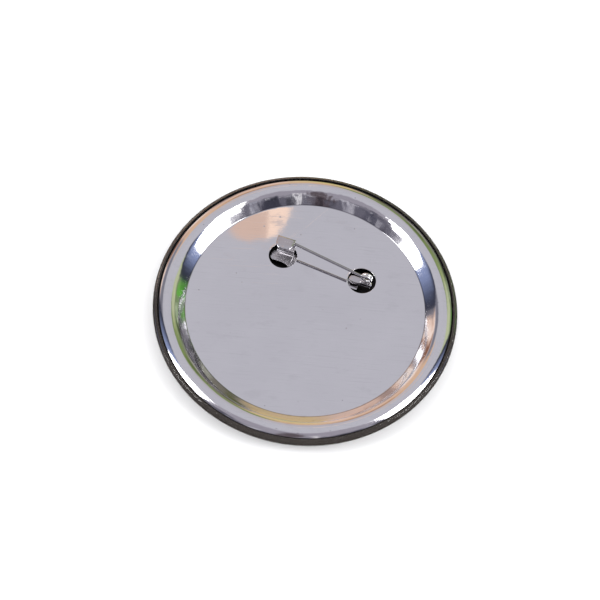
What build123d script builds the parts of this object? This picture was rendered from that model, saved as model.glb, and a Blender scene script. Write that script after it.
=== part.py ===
from build123d import *
import os
from math import asin, atan, cos, degrees, pi, radians, sin, sqrt

os.makedirs("parts", exist_ok=True)

# A 75 mm pin-back button badge lying on its domed face, back up.
# Origin: lowest point of the domed face, on the badge's axis.
# +Z out of the back, +X along the pin from the catch to the spring,
# +Y from the badge's centre towards the pin.  Millimetres throughout.

# ---------------- driving dimensions ----------------
badge_dia = 75.0        # over the film-wrapped edge
edge_r = 1.30           # outside radius of the rolled edge
edge_z = 5.40           # height of the rolled edge's centre
lip_deg = 84.0          # how far the rolled edge comes round, from horizontal
film_t = 0.10           # clear film
paper_t = 0.10          # printed disc
shell_t = 0.22          # tinplate front shell
ply_gap = 0.02          # air between the plies

plate_t = 0.25          # tinplate back plate
flat_z = 4.35           # top of the back plate's flat centre
flat_r = 29.6           # radius of the flat centre
crest_r = 34.136        # where wall and roll would meet, before rounding
crest_h = 3.888         # the same, above the flat
rim_r = 36.6            # outside of the flange that sits in the shell's edge
rim_h = 1.424           # top of that flange before rounding, above the flat
flange_h = 0.40         # bottom of the flange, above the flat
crease_round = 0.55     # crease between the flat and the wall
crest_round = 3.4
rim_round = 0.45

hole_dia = 7.1          # the two holes the pin comes through
hole_pitch = 20.8
bar_x = 0.39            # middle of the pin, along X
bar_y = 11.85           # the pin's chord from the badge's centre
hole_round = 0.07

bar_t = 0.30            # steel strip of the pin bar
bar_w = 4.4             # width of the strip
bar_low = -1.30         # top of the strip's two low ends, below the flat
bar_high = -plate_t - 0.01  # top of the strip's middle, against the plate
catch_a = -10.4         # middle of the catch, along the bar
catch_w = 4.6           # width of the catch
catch_in = 2.25         # inside of the catch's wall at the flat, from the bar's line
catch_lean = 0.10       # how far the wall leans out, per mm of height
flap_h = 4.20           # underside of the flap at its fold, above the flat
flap_len = 3.65         # flap, from the wall to its free end
flap_rise = 8.5         # degrees the flap opens towards its free end

wire_r = 0.35           # 0.7 mm spring wire
coil_a = 11.40          # coil's axis, along the bar
coil_z = 1.45           # coil's axis above the flat
coil_r = 1.20           # mean radius of the coil
coil_pitch = 0.71
coil_turns = 1.25
coil_b = -0.08          # the coil's near end, from the bar's line
lead = 1.45             # wire from the coil's top to the pivot
cup_r = 0.42            # hollow in the wire's end round the pivot ball
arm_run = 18.00         # parallel part of the pin
taper_run = 4.35        # ground point
point_r = 0.03
arm_side = 0.1250       # sideways slope of the pin
arm_up = 0.0617         # upward slope of the pin


def bar(a, b, z):
    """A point given along the bar, across it and above the back's flat."""
    return Vector(bar_x + a, bar_y + b, flat_z + z)


def bar_plane(a, b, z, x_dir, z_dir):
    return Plane(origin=bar(a, b, z), x_dir=x_dir, z_dir=z_dir)


# ---------------- the pressed face: three plies ----------------
edge_cr = badge_dia / 2 - edge_r
# the dome is the sphere through the origin that meets the rolled edge tangentially
dome_r = (edge_cr**2 + edge_z**2 - edge_r**2) / (2 * (edge_z - edge_r))
dome_deg = degrees(asin(edge_cr / (dome_r - edge_r)))


def ply_outline(outer, inner):
    """Closed half section of one ply, between two depths below the outside."""
    a0, sweep_deg = dome_deg - 90, lip_deg + 90 - dome_deg
    dome_out = CenterArc((0, dome_r), dome_r - outer, -90, dome_deg)
    edge_out = CenterArc((edge_cr, edge_z), edge_r - outer, a0, sweep_deg)
    edge_in = CenterArc((edge_cr, edge_z), edge_r - inner, a0, sweep_deg)
    dome_in = CenterArc((0, dome_r), dome_r - inner, -90, dome_deg)
    Line(edge_out @ 1, edge_in @ 1)
    Line(dome_out @ 0, dome_in @ 0)


film_in = film_t
paper_out = film_in + ply_gap
paper_in = paper_out + paper_t
shell_out = paper_in + ply_gap
shell_in = shell_out + shell_t

with BuildPart() as clear_film:
    with BuildSketch(Plane.XZ):
        with BuildLine():
            ply_outline(0, film_in)
        make_face()
    revolve(axis=Axis.Z)

with BuildPart() as printed_disc:
    with BuildSketch(Plane.XZ):
        with BuildLine():
            ply_outline(paper_out, paper_in)
        make_face()
    revolve(axis=Axis.Z)

with BuildPart() as front_shell:
    with BuildSketch(Plane.XZ):
        with BuildLine():
            ply_outline(shell_out, shell_in)
        make_face()
    revolve(axis=Axis.Z)

# ---------------- back plate ----------------
# flat centre, conical wall, rolled crest, and a flange that drops into the shell's edge
with BuildPart() as back_plate:
    with BuildSketch(Plane.XZ):
        with BuildLine():
            FilletPolyline(
                (0, flat_z),
                (flat_r, flat_z),
                (crest_r, flat_z + crest_h),
                (rim_r, flat_z + rim_h),
                (rim_r, flat_z + flange_h),
                radius=[crease_round, crest_round, rim_round],
            )
            offset(amount=plate_t, side=Side.RIGHT)
        make_face()
    revolve(axis=Axis.Z)
    with BuildSketch(Plane.XY.offset(flat_z + 1)):
        with Locations(
            (bar_x - hole_pitch / 2, bar_y), (bar_x + hole_pitch / 2, bar_y)
        ):
            Circle(hole_dia / 2)
    extrude(amount=-2, mode=Mode.SUBTRACT)
    hole_rims = (
        back_plate.edges()
        .filter_by(GeomType.CIRCLE)
        .filter_by(lambda e: abs(e.radius - hole_dia / 2) < 0.01)
        .filter_by(lambda e: abs(e.center().Z - flat_z) < 0.01)
    )
    fillet(hole_rims, radius=hole_round)

# ---------------- pin bar ----------------
# the strip: low at both holes, its middle up against the plate
with BuildPart() as strip:
    with BuildSketch(bar_plane(0, 0, 0, (1, 0, 0), (0, -1, 0))):
        with BuildLine():
            FilletPolyline(
                (-14.0, bar_low),
                (-6.6, bar_low),
                (-4.4, bar_high),
                (3.2, bar_high),
                (5.4, bar_low),
                (12.6, bar_low),
                radius=0.9,
            )
            offset(amount=bar_t, side=Side.RIGHT)
        make_face()
    extrude(amount=4, both=True)
    with BuildSketch(bar_plane(0, 0, -3, (1, 0, 0), (0, 0, 1))):
        with BuildLine():
            Polyline(
                (-12.7, 1.60),
                (-12.7, 1.20),
                (-8.1, 1.20),
                (-8.1, bar_w / 2),
                (4.6, bar_w / 2),
                (6.6, 1.10),
                (12.6, 0.50),
                (12.6, -0.55),
                (9.8, -0.55),
                (9.8, -bar_w / 2 + 0.4),
            )
            ThreePointArc(
                (9.8, -bar_w / 2 + 0.4), (9.683, -bar_w / 2 + 0.117), (9.4, -bar_w / 2)
            )
            Line((9.4, -bar_w / 2), (-7.2, -bar_w / 2))
            ThreePointArc((-7.2, -bar_w / 2), (-8.7, -1.55), (-10.4, -1.10))
            Line((-10.4, -1.10), (-12.7, -1.10))
            ThreePointArc((-12.7, -1.10), (-13.8, 0.25), (-12.7, 1.60))
        make_face()
    extrude(amount=4, mode=Mode.INTERSECT)

# the tongue: the strip's end folded back over the spring's leg
tongue_low = bar_low + 2 * wire_r + 0.02
fold_a = 12.6
fold_z = (tongue_low + bar_low) / 2
fold_r = (tongue_low - bar_low) / 2
with BuildPart() as tongue:
    with BuildSketch(bar_plane(0, 0, 0, (1, 0, 0), (0, -1, 0))):
        with BuildLine():
            Line((7.0, tongue_low), (fold_a, tongue_low))
            CenterArc((fold_a, fold_z), fold_r, -90, 180)
            Line((fold_a, bar_low), (fold_a, bar_low - bar_t))
            CenterArc((fold_a, fold_z), fold_r + bar_t, -90, 180)
            Line((fold_a, tongue_low + bar_t), (7.0, tongue_low + bar_t))
            Line((7.0, tongue_low + bar_t), (7.0, tongue_low))
        make_face()
    extrude(amount=4, both=True)
    with BuildSketch(bar_plane(0, 0, -3, (1, 0, 0), (0, 0, 1))):
        with BuildLine():
            ThreePointArc((8.2, 0.95), (7.08, -0.13), (8.2, -1.22))
            Polyline((8.2, -1.22), (9.2, -1.15), (10.3, -0.55), (13.6, -0.55))
            Polyline((13.6, -0.55), (13.6, 0.50), (11.2, 0.50), (9.6, 0.92), (8.2, 0.95))
        make_face()
    extrude(amount=4, mode=Mode.INTERSECT)

# the catch: a wall off the strip's far edge, folded over the pin's point
wall_b = catch_in + catch_lean * flap_h
free_b = wall_b - flap_len * cos(radians(flap_rise))
free_z = flap_h + flap_len * sin(radians(flap_rise))
with BuildPart() as catch:
    with BuildSketch(bar_plane(catch_a, 0, 0, (0, 1, 0), (1, 0, 0))):
        with BuildLine():
            FilletPolyline(
                (1.0, bar_low),
                (catch_in + catch_lean * bar_low, bar_low),
                (wall_b, flap_h),
                (free_b, free_z),
                radius=[0.45, 0.32],
            )
            offset(amount=bar_t, side=Side.RIGHT)
        make_face()
    extrude(amount=catch_w / 2, both=True)
    # seen from above, the flap is a tongue with a rounded free end
    with BuildSketch(bar_plane(catch_a, 0, -3, (1, 0, 0), (0, 0, 1))):
        with BuildLine():
            FilletPolyline(
                (-catch_w / 2, 3.6),
                (-catch_w / 2, 1.6),
                (-catch_w / 2 + 0.22, free_b + 0.02),
                (catch_w / 2 - 0.22, free_b + 0.02),
                (catch_w / 2, 1.6),
                (catch_w / 2, 3.6),
                radius=[1.0, 1.75, 1.75, 1.0],
            )
            Line((catch_w / 2, 3.6), (-catch_w / 2, 3.6))
        make_face()
    extrude(amount=9, mode=Mode.INTERSECT)

with BuildPart() as pin_bar:
    add(strip.part)
    add(tongue.part)
    add(catch.part)

# ---------------- spring wire ----------------
# the coil stands on the bar's line, its axis along Y; the pin runs off its top
coil_top = bar(coil_a, coil_b, coil_z + coil_r)
helix_deg = degrees(atan(coil_pitch / (2 * pi * coil_r)))
lead_dir = Vector(-cos(radians(helix_deg)), -sin(radians(helix_deg)), 0)
pivot = coil_top + lead_dir * lead
coil_end = bar(coil_a + coil_r, coil_b + coil_pitch * coil_turns, coil_z)
leg_dir = Vector(0, sin(radians(helix_deg)), -cos(radians(helix_deg)))
leg_z = bar_low + wire_r + 0.01
leg_corner = coil_end + leg_dir * ((coil_z - leg_z) / cos(radians(helix_deg)))
leg_end = bar(8.2, 0.15, leg_z)

# coil and lead-out are made about Z, then stood up with the coil's axis along Y
with BuildPart() as coil:
    with BuildLine():
        coil_line = Helix(coil_pitch, coil_pitch * coil_turns, coil_r)
    with BuildSketch(Plane(origin=coil_line @ 0, z_dir=coil_line % 0)):
        Circle(wire_r)
    sweep(path=coil_line, is_frenet=True)
    with BuildSketch(Plane(origin=coil_line @ 0, z_dir=-(coil_line % 0))):
        Circle(wire_r)
    extrude(amount=lead)
coil_place = Plane(origin=bar(coil_a, coil_b, coil_z), x_dir=(0, 0, 1), z_dir=(0, 1, 0))

with BuildPart() as leg:
    with BuildLine():
        leg_line = FilletPolyline(coil_end, leg_corner, leg_end, radius=0.75)
    with BuildSketch(Plane(origin=coil_end, z_dir=leg_dir)):
        Circle(wire_r)
    sweep(path=leg_line)
    fillet(leg.faces().sort_by(Axis.X)[0].edges(), radius=0.12)

with BuildPart() as spring_coil:
    add(coil_place * coil.part)
    add(leg.part)
    # a hollow that leaves the pin's root free to turn
    with Locations(pivot):
        Sphere(cup_r, mode=Mode.SUBTRACT)

# ---------------- the pin ----------------
arm_dir = Vector(-1, arm_side, arm_up).normalized()
arm_side_dir = Vector(0, 0, 1).cross(arm_dir).normalized()
with BuildPart() as pin_arm:
    with BuildSketch(Plane(origin=pivot, x_dir=arm_dir, z_dir=arm_side_dir)) as arm_half:
        with BuildLine():
            RadiusArc((-wire_r, 0), (0, wire_r), wire_r)
            Line((0, wire_r), (arm_run, wire_r))
            Line((arm_run, wire_r), (arm_run + taper_run, point_r))
            Line((arm_run + taper_run, point_r), (arm_run + taper_run + point_r, 0))
            Line((arm_run + taper_run + point_r, 0), (-wire_r, 0))
        make_face()
    revolve(axis=Axis(pivot, arm_dir))

# ---------------- write the pieces ----------------
front_shell.part.label = "front_shell"
printed_disc.part.label = "printed_disc"
clear_film.part.label = "clear_film"
back_plate.part.label = "back_plate"
pin_bar.part.label = "pin_bar"
spring_coil.part.label = "spring_coil"
pin_arm.part.label = "pin_arm"

export_step(front_shell.part, "parts/front_shell.step")
export_step(printed_disc.part, "parts/printed_disc.step")
export_step(clear_film.part, "parts/clear_film.step")
export_step(back_plate.part, "parts/back_plate.step")
export_step(pin_bar.part, "parts/pin_bar.step")
export_step(spring_coil.part, "parts/spring_coil.step")
export_step(pin_arm.part, "parts/pin_arm.step")

print("pivot", pivot, "arm direction", arm_dir, "coil top", coil_top)
print("leg corner", leg_corner, "dome radius", dome_r)
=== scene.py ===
import math

import bmesh
import bpy
from mathutils import Matrix, Quaternion, Vector, noise
from mathutils.geometry import delaunay_2d_cdt


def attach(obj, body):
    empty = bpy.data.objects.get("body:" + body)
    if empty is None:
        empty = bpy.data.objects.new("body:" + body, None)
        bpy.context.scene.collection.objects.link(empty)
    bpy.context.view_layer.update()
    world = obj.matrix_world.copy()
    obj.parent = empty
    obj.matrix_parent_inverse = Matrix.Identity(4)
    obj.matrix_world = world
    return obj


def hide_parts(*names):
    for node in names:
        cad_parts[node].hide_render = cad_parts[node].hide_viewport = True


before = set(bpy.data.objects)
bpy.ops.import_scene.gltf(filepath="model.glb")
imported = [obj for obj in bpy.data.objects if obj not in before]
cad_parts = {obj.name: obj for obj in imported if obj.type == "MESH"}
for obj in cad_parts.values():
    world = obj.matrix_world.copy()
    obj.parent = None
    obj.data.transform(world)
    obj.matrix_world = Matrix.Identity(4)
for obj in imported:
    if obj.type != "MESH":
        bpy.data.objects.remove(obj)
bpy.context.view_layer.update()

MM = 0.001
DETAIL = 1.0

# ------------------------------------------------------------------ dimensions, mm
BADGE_R = 37.5
EDGE_R, EDGE_Z, LIP = 1.30, 5.40, 84.0
EDGE_C = BADGE_R - EDGE_R
DOME_R = (EDGE_C ** 2 + EDGE_Z ** 2 - EDGE_R ** 2) / (2 * (EDGE_Z - EDGE_R))
DOME_DEG = math.degrees(math.asin(EDGE_C / (DOME_R - EDGE_R)))
FLAT_Z, PLATE_T = 4.35, 0.25
PLATE_PATH = [(0, FLAT_Z), (29.6, FLAT_Z), (31.4, FLAT_Z + 1.66), (34.13, FLAT_Z + 3.83), (36.6, FLAT_Z + 1.424), (36.6, FLAT_Z + 0.40)]
PLATE_ROUND = [0.34, 12.0, 3.4, 0.45]
HOLE_R, HOLE_PITCH, HOLE_ROUND = 3.55, 20.8, 0.07
BAR_X, BAR_Y, BAR_T, BAR_W = 0.39, 11.85, 0.30, 4.4
BAR_LOW, BAR_HIGH = -1.30, -PLATE_T - 0.01
CATCH_A, CATCH_W, CATCH_IN, CATCH_LEAN = -10.4, 4.6, 2.25, 0.10
FLAP_H, FLAP_LEN, FLAP_RISE = 4.20, 3.65, math.radians(8.5)
WIRE_R = 0.35
COIL_A, COIL_B, COIL_Z, COIL_R, COIL_PITCH, COIL_TURNS = 11.40, -0.08, 1.45, 1.20, 0.71, 1.25
LEAD, CUP_R = 1.45, 0.42
ARM_RUN, TAPER_RUN, POINT_R = 18.00, 4.35, 0.03
HOLES = [(BAR_X - HOLE_PITCH / 2, BAR_Y), (BAR_X + HOLE_PITCH / 2, BAR_Y)]


def bar(a, b, z):
    return Vector((BAR_X + a, BAR_Y + b, FLAT_Z + z))


# ------------------------------------------------------------------ mesh helpers
def finish_mesh(bm, name, sharp=32.0):
    """bmesh in mm -> object in metres, smooth, with real edges kept sharp."""
    bmesh.ops.recalc_face_normals(bm, faces=bm.faces)
    limit = math.radians(sharp)
    for f in bm.faces:
        f.smooth = True
    for e in bm.edges:
        if len(e.link_faces) == 2 and e.calc_face_angle(0.0) > limit:
            e.smooth = False
    bmesh.ops.scale(bm, vec=(MM, MM, MM), verts=bm.verts)
    me = bpy.data.meshes.new(name)
    bm.to_mesh(me)
    bm.free()
    ob = bpy.data.objects.new(name, me)
    bpy.context.scene.collection.objects.link(ob)
    return ob


def fillet_path(pts, radii, step=6.0):
    """Dense samples (point, left normal) of a polyline with tangent arcs at its corners."""
    out = []
    P = [Vector(p) for p in pts]
    start = P[0]
    for i in range(1, len(P) - 1):
        d0, d1 = (P[i] - P[i - 1]).normalized(), (P[i + 1] - P[i]).normalized()
        turn = math.atan2(d0.x * d1.y - d0.y * d1.x, d0.dot(d1))
        r = radii[i - 1]
        t = r * math.tan(abs(turn) / 2)
        a, b = P[i] - d0 * t, P[i] + d1 * t
        n0 = Vector((-d0.y, d0.x))
        out.append((start, a, n0))
        side = 1 if turn > 0 else -1
        c = a + n0 * r * side
        n = max(3, int(abs(math.degrees(turn)) / step) + 1)
        arc = []
        for k in range(n + 1):
            ang = turn * k / n
            rot = Matrix.Rotation(ang, 2)
            nn = rot @ n0
            arc.append((c - nn * r * side, nn))
        out.append(arc)
        start = b
    d = (P[-1] - P[-2]).normalized()
    out.append((start, P[-1], Vector((-d.y, d.x))))
    return out


def sample_path(pts, radii, step=6.0, run=0.8):
    """The path as one list of (point, left normal), straight runs cut at about run mm."""
    res = []
    for seg in fillet_path(pts, radii, step):
        if isinstance(seg, tuple):
            a, b, n = seg
            k = max(1, int((b - a).length / run))
            for i in range(k + 1):
                res.append((a.lerp(b, i / k), n))
        else:
            res += seg
    clean = [res[0]]
    for p, n in res[1:]:
        if (p - clean[-1][0]).length > 1e-5:
            clean.append((p, n))
    return clean


def lathe(loop, n, shift=None, closed=True):
    """Closed solid of revolution from a loop of (r, z); shift(angle, i, r, z) moves a point."""
    bm = bmesh.new()
    rings = []
    for i, (r, z) in enumerate(loop):
        if r < 1e-6:
            rings.append([bm.verts.new((0, 0, z))])
            continue
        ring = []
        for k in range(n):
            a = 2 * math.pi * k / n
            rr, zz = shift(a, i, r, z) if shift else (r, z)
            ring.append(bm.verts.new((rr * math.cos(a), rr * math.sin(a), zz)))
        rings.append(ring)
    m = len(rings)
    for i in range(m if closed else m - 1):
        A, B = rings[i], rings[(i + 1) % m]
        if len(A) == 1 and len(B) == 1:
            continue
        for k in range(n):
            k2 = (k + 1) % n
            if len(A) == 1:
                bm.faces.new((A[0], B[k], B[k2]))
            elif len(B) == 1:
                bm.faces.new((A[k], B[0], A[k2]))
            else:
                bm.faces.new((A[k], B[k], B[k2], A[k2]))
    return bm


def skin(rings, cap_a=True, cap_b=True, bm=None):
    """Joins rings of equal length into a closed tube."""
    bm = bm or bmesh.new()
    V = [[bm.verts.new(p) for p in ring] for ring in rings]
    n = len(V[0])
    for A, B in zip(V, V[1:]):
        for k in range(n):
            k2 = (k + 1) % n
            bm.faces.new((A[k], A[k2], B[k2], B[k]))
    if cap_a:
        bm.faces.new(list(reversed(V[0])))
    if cap_b:
        bm.faces.new(V[-1])
    return bm


def tube(points, radii, seg=28, ref=None):
    """Round tube through points, each with its radius, by parallel transport."""
    P = [Vector(p) for p in points]
    T = []
    for i in range(len(P)):
        a, b = P[max(i - 1, 0)], P[min(i + 1, len(P) - 1)]
        T.append((b - a).normalized())
    u = (ref or Vector((0, 0, 1))).cross(T[0]).normalized()
    rings = []
    for i, (p, t) in enumerate(zip(P, T)):
        if i:
            q = T[i - 1].rotation_difference(t)
            u = q @ u
        u = (u - t * u.dot(t)).normalized()
        v = t.cross(u)
        r = radii[i] if hasattr(radii, "__len__") else radii
        rings.append([p + (u * math.cos(w) + v * math.sin(w)) * r for w in (2 * math.pi * k / seg for k in range(seg))])
    return rings, T


def fbm(x, y, z=0.0, octaves=3):
    return noise.fractal(Vector((x, y, z)), 0.6, 2.1, octaves, noise_basis="PERLIN_ORIGINAL")


# ------------------------------------------------------------------ the pressed face: film, print, shell
def ply_loop(outer, inner, extra_lip=0.0):
    loop = []
    nd, ne = 46, 44
    for k in range(nd + 1):
        w = math.radians(-90 + DOME_DEG * k / nd)
        loop.append(((DOME_R - outer) * math.cos(w), DOME_R + (DOME_R - outer) * math.sin(w)))
    a0, a1 = -90 + DOME_DEG, LIP + extra_lip
    for k in range(1, ne + 1):
        w = math.radians(a0 + (a1 - a0) * k / ne)
        loop.append((EDGE_C + (EDGE_R - outer) * math.cos(w), EDGE_Z + (EDGE_R - outer) * math.sin(w)))
    n_out = len(loop)
    mid = (outer + inner) / 2
    w = math.radians(a1 + 1.6)
    loop.append((EDGE_C + (EDGE_R - mid) * math.cos(w), EDGE_Z + (EDGE_R - mid) * math.sin(w)))
    for k in range(ne, 0, -1):
        w = math.radians(a0 + (a1 - a0) * k / ne)
        loop.append((EDGE_C + (EDGE_R - inner) * math.cos(w), EDGE_Z + (EDGE_R - inner) * math.sin(w)))
    for k in range(nd, -1, -1):
        w = math.radians(-90 + DOME_DEG * k / nd)
        loop.append(((DOME_R - inner) * math.cos(w), DOME_R + (DOME_R - inner) * math.sin(w)))
    return loop, n_out


def film_shift(a, i, r, z):
    """Small gathers where the film is drawn round the edge: deepest at the crimp, gone by the face."""
    w = math.atan2(z - EDGE_Z, r - EDGE_C)
    if r < EDGE_C - 2 or w < -0.2:
        return r, z
    f = min(1.0, max(0.0, (w + 0.1) / 1.5)) ** 1.6
    g = fbm(11 * math.cos(a), 11 * math.sin(a), 3.0, 3) + 0.6 * math.sin(96 * a + 5 * fbm(3 * math.cos(a), 3 * math.sin(a), 1.0))
    d = -0.022 * f * (0.5 + 0.5 * g)
    return r + d * math.cos(w), z + d * math.sin(w)


N = 720
loop, _ = ply_loop(0.0, 0.10)
film = finish_mesh(lathe(loop, N, film_shift), "film_skin")
loop, _ = ply_loop(0.12, 0.22)
paper = finish_mesh(lathe(loop, 480), "print_face")
loop, _ = ply_loop(0.24, 0.46)
shell = finish_mesh(lathe(loop, 360), "shell_dome")

# ------------------------------------------------------------------ back plate
path = sample_path(PLATE_PATH, PLATE_ROUND, step=2.2, run=0.45)
JOIN_R = 28.6
outer_part = [(p, n) for p, n in path if p.x > JOIN_R + 0.2]


def plate_wave(a, r, z):
    """Slight unevenness of the pressed wall and crest, along the surface normal, in mm."""
    c, s = math.cos(a), math.sin(a)
    k = min(1.0, max(0.0, (r - 29.4) / 1.6)) * min(1.0, max(0.0, (36.0 - r) / 1.0))
    big = fbm(2.2 * c, 2.2 * s, r * 0.10, 3)
    mid = fbm(8 * c, 8 * s, r * 0.30 + 9.0, 3)
    fine = fbm(24 * c, 24 * s, r * 0.5 + 4.0, 2)
    # the draw pinched the wall a little more over one stretch
    pinch = math.exp(-((math.atan2(s, c) - math.radians(103)) / math.radians(34)) ** 2)
    inner = min(1.0, max(0.0, (34.6 - r) / 1.2))
    return k * (0.016 * big + (0.008 + 0.030 * pinch * inner) * mid + (0.0016 + 0.004 * pinch * inner) * fine)


def flat_wave(x, y):
    r = math.hypot(x, y)
    k = min(1.0, max(0.0, (28.6 - r) / 3.0))
    d = min(math.hypot(x - hx, y - hy) for hx, hy in HOLES)
    dish = -0.012 * math.exp(-((d - HOLE_R) / 1.1) ** 2)
    dish += 0.036 * math.exp(-((d - HOLE_R - HOLE_ROUND) / 0.11) ** 2)   # burr left by the punch
    return k * (0.010 * fbm(x * 0.045, y * 0.045, 7.0, 2) + 0.0016 * fbm(x * 0.22, y * 0.22, 2.0, 2)) + dish


def build_plate():
    bm = bmesh.new()
    n = 720
    ang = [2 * math.pi * k / n for k in range(n)]
    top, bottom = [], []
    for p, nn in outer_part:
        rt, rb = [], []
        for a in ang:
            w = plate_wave(a, p.x, p.y)
            q = p + nn * w
            rt.append(bm.verts.new((q.x * math.cos(a), q.x * math.sin(a), q.y)))
            q = p - nn * (PLATE_T - w)
            rb.append(bm.verts.new((q.x * math.cos(a), q.x * math.sin(a), q.y)))
        top.append(rt)
        bottom.append(rb)
    for R in (top, bottom):
        for A, B in zip(R, R[1:]):
            for k in range(n):
                k2 = (k + 1) % n
                bm.faces.new((A[k], B[k], B[k2], A[k2]) if R is top else (A[k], A[k2], B[k2], B[k]))
    A, B = top[-1], bottom[-1]
    for k in range(n):
        k2 = (k + 1) % n
        bm.faces.new((A[k], B[k], B[k2], A[k2]))
    # flat centre with its two holes, triangulated finely enough to carry the plate's slight waves
    m = 120
    rim_top, rim_bottom, rings = [], [], {}
    hole_r_top = HOLE_R + HOLE_ROUND

    def centre(z, rim_r, outer_ring, dish):
        pts, edges = [], []
        step = 4
        ring = list(range(0, n))
        for k in ring:
            v = outer_ring[k].co
            pts.append((v.x, v.y))
        edges += [(k, (k + 1) % n) for k in range(n)]
        base = n
        hole_ids = []
        for hx, hy in HOLES:
            ids = []
            for k in range(m):
                w = 2 * math.pi * k / m
                pts.append((hx + rim_r * math.cos(w), hy + rim_r * math.sin(w)))
                ids.append(base + k)
            edges += [(base + k, base + (k + 1) % m) for k in range(m)]
            base += m
            hole_ids.append(ids)
        if dish:
            for hx, hy in HOLES:
                for j, rr in enumerate((0.04, 0.08, 0.13, 0.20, 0.36, 0.75, 1.3, 2.0)):
                    mm = m if j < 5 else m // 2
                    for k in range(mm):
                        w = 2 * math.pi * (k + 0.5 * (j % 2)) / mm
                        pts.append((hx + (rim_r + rr) * math.cos(w), hy + (rim_r + rr) * math.sin(w)))
            g = 0.9
            cnt = int(29 / g)
            for i in range(-cnt, cnt + 1):
                for j in range(-cnt, cnt + 1):
                    x, y = (i + 0.5 * (j % 2)) * g, j * g * 0.866
                    if math.hypot(x, y) > outer_ring[0].co.xy.length - 0.7:
                        continue
                    if min(math.hypot(x - hx, y - hy) for hx, hy in HOLES) < rim_r + 2.4:
                        continue
                    pts.append((x, y))
        vs, es, fs, ov, oe, of = delaunay_2d_cdt([Vector(p) for p in pts], edges, [], 0, 1e-7)
        R0 = outer_ring[0].co.xy.length
        made = {}
        holes = [[None] * m for _ in HOLES]
        for i, p in enumerate(vs):
            src = ov[i]
            first = [s for s in src if s < n]
            if first:
                made[i] = outer_ring[first[0]]
                continue
            made[i] = bm.verts.new((p.x, p.y, z + (flat_wave(p.x, p.y))))
            for h, ids in enumerate(hole_ids):
                for s in src:
                    if ids[0] <= s <= ids[-1]:
                        holes[h][s - ids[0]] = made[i]
        for f in fs:
            c = sum((vs[i] for i in f), Vector((0, 0))) / len(f)
            if min(math.hypot(c.x - hx, c.y - hy) for hx, hy in HOLES) < rim_r * math.cos(math.pi / m) - 1e-4:
                continue
            if c.length > R0:
                continue
            try:
                bm.faces.new([made[i] for i in f])
            except ValueError:
                pass
        return holes

    ht = centre(FLAT_Z, hole_r_top, top[0], True)
    hb = centre(FLAT_Z - PLATE_T, HOLE_R + 0.02, bottom[0], False)
    for h, (hx, hy) in enumerate(HOLES):
        rings = [ht[h]]
        z0 = [v.co.z for v in ht[h]]
        for j in range(1, 6):
            w = math.radians(90 * j / 5)
            rr = HOLE_R + HOLE_ROUND * (1 - math.sin(w))
            dz = -HOLE_ROUND * (1 - math.cos(w))
            rings.append([bm.verts.new((hx + rr * math.cos(2 * math.pi * k / m), hy + rr * math.sin(2 * math.pi * k / m), z0[k] + dz)) for k in range(m)])
        rings.append([bm.verts.new((hx + HOLE_R * math.cos(2 * math.pi * k / m), hy + HOLE_R * math.sin(2 * math.pi * k / m), FLAT_Z - PLATE_T + 0.03)) for k in range(m)])
        rings.append(hb[h])
        for A, B in zip(rings, rings[1:]):
            for k in range(m):
                k2 = (k + 1) % m
                bm.faces.new((A[k], A[k2], B[k2], B[k]))
    return finish_mesh(bm, "tin_back", 40.0)


plate = build_plate()

# ------------------------------------------------------------------ pin bar: one pressed strip
EDGE_ROUND = 0.055


def strip_section(p, n, across, lo, hi, t, inset):
    """Rounded section of the sheet: p a point of its top face, n its normal, lo..hi its reach across."""
    r = min(EDGE_ROUND, (hi - lo) * 0.25)
    ring = []
    for cx, cy, a0 in ((hi - r, -r, 90), (hi - r, -t + r, 0), (lo + r, -t + r, -90), (lo + r, -r, 180)):
        for j in range(4):
            w = math.radians(a0 - 30 * j)
            ring.append(p + across * (cx + r * math.cos(w)) + n * (cy + r * math.sin(w)) - n * 0)
    return ring


def interp(table, x):
    if x <= table[0][0]:
        return table[0][1]
    for (x0, y0), (x1, y1) in zip(table, table[1:]):
        if x <= x1:
            t = (x - x0) / (x1 - x0)
            return y0 + (y1 - y0) * t
    return table[-1][1]


def smooth_table(table, x, w):
    k = 7
    return sum(interp(table, x + w * (j / (k - 1) * 2 - 1)) for j in range(k)) / k


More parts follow.
